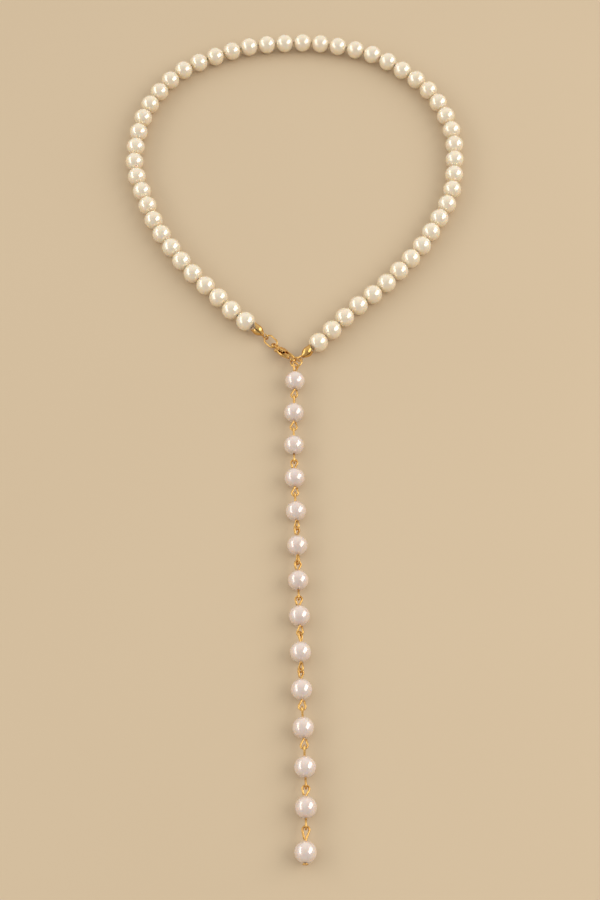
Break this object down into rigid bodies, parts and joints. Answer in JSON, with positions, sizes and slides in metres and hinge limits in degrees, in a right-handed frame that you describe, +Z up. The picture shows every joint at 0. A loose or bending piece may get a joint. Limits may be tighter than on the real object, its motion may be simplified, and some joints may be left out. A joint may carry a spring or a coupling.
{
  "type": "pearl necklace",
  "caption": "Closed loop of imitation pearls with a lobster clasp and one long drop of linked pearls, laid out flat.",
  "frame": {"origin": "middle of the necklace's box on the surface it lies on", "axes": "+Z up from the surface; +Y from the drop's foot to the top of the loop; +X to the loop's right side"},
  "size_m": [0.148, 0.3766, 0.008],
  "materials": {
    "pearl_cream": "glossy cream pearl coating",
    "pearl_blush": "glossy pinkish white pearl coating",
    "gold": "polished gold plating",
    "thread": "plain twisted thread"
  },
  "bodies": {
    "necklace": {"pearl_strand_left": "pearl_cream", "pearl_strand_right": "pearl_cream", "strand_thread": "thread", "bead_tip_left": "gold", "bead_tip_right": "gold", "oval_ring": "gold", "clasp_body": "gold", "clasp_pin": "gold", "end_ring": "gold", "drop_pearl_01": "pearl_blush", "drop_pearl_02": "pearl_blush", "drop_pearl_03": "pearl_blush", "drop_pearl_04": "pearl_blush", "drop_pearl_05": "pearl_blush", "drop_pearl_06": "pearl_blush", "drop_pearl_07": "pearl_blush", "drop_pearl_08": "pearl_blush", "drop_pearl_09": "pearl_blush", "drop_pearl_10": "pearl_blush", "drop_pearl_11": "pearl_blush", "drop_pearl_12": "pearl_blush", "drop_pearl_13": "pearl_blush", "drop_pearl_14": "pearl_blush", "drop_link_01": "gold", "drop_link_02": "gold", "drop_link_03": "gold", "drop_link_04": "gold", "drop_link_05": "gold", "drop_link_06": "gold", "drop_link_07": "gold", "drop_link_08": "gold", "drop_link_09": "gold", "drop_link_10": "gold", "drop_link_11": "gold", "drop_link_12": "gold", "drop_link_13": "gold", "drop_link_14": "gold"},
    "lever": {"clasp_lever": "gold"}
  },
  "joints": [
    {"name": "clasp_lever_hinge", "type": "hinge", "parent": "necklace", "child": "lever", "pos_m": [-0.00537, 0.02126, 0.00253], "axis": [0.355, 0.5234, 0.7746], "range_deg": [0, 20], "stiffness_Nm_per_rad": 0.0005, "springref_deg": -11.46}
  ]
}
